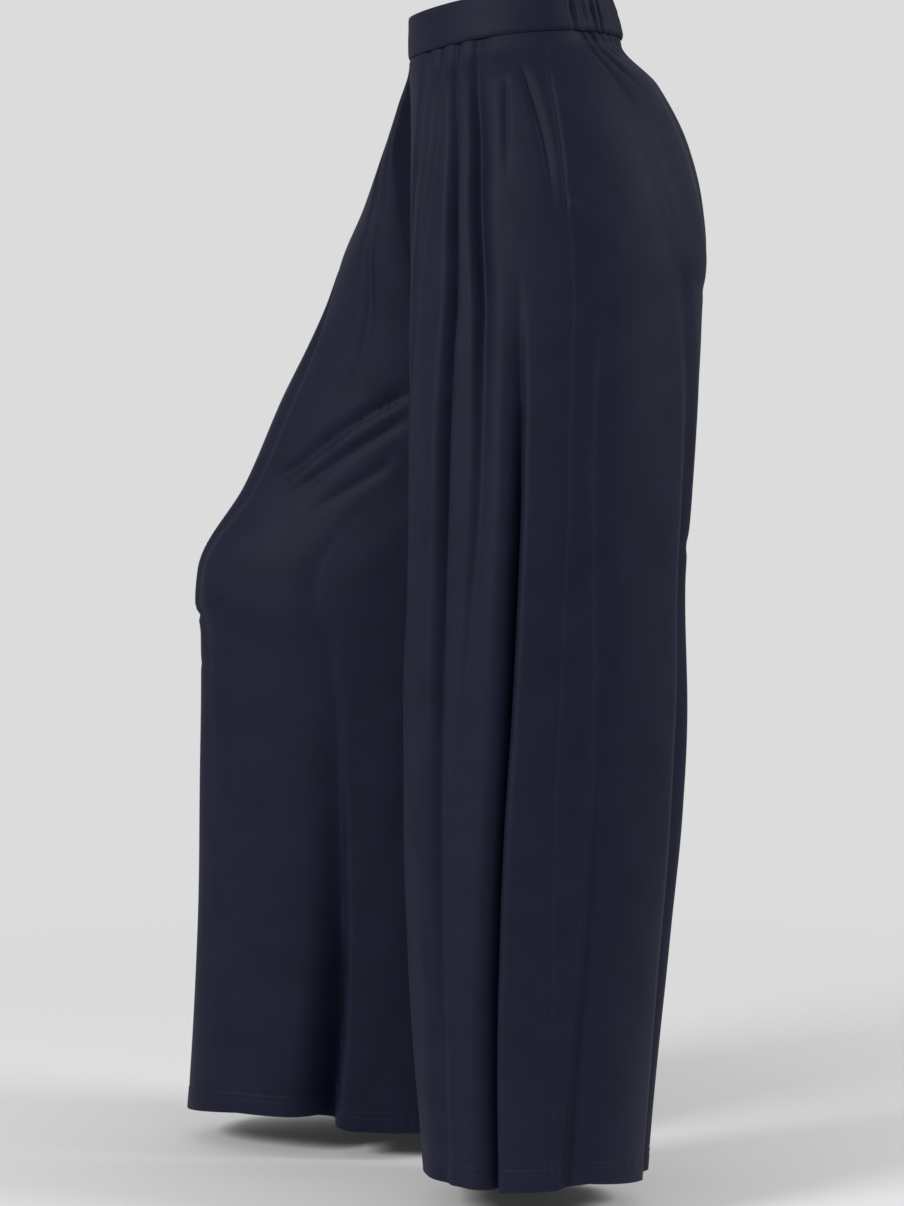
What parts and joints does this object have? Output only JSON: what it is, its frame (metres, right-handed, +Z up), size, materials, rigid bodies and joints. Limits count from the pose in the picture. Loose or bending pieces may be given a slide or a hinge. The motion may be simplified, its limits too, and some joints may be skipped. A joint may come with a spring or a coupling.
{
  "type": "palazzo pants",
  "caption": "Full-length wide-leg pull-on pants with a smooth front band, pleated front and gathered elastic back, in a standing worn pose.",
  "frame": {"origin": "centre of the waistband ring at mid-height, where the wearer's waist holds the garment", "axes": "+Z up, the wearer faces -Y, the wearer's left leg is +X"},
  "size_m": [0.4866, 0.4767, 1.0456],
  "materials": {
    "navy_jersey": "smooth matt stretch jersey, midnight navy, with a faint sheen"
  },
  "bodies": {
    "root": {"waistband_front": "navy_jersey", "waistband_back": "navy_jersey", "front_left": "navy_jersey", "back_left": "navy_jersey", "front_right": "navy_jersey", "back_right": "navy_jersey"}
  },
  "joints": []
}
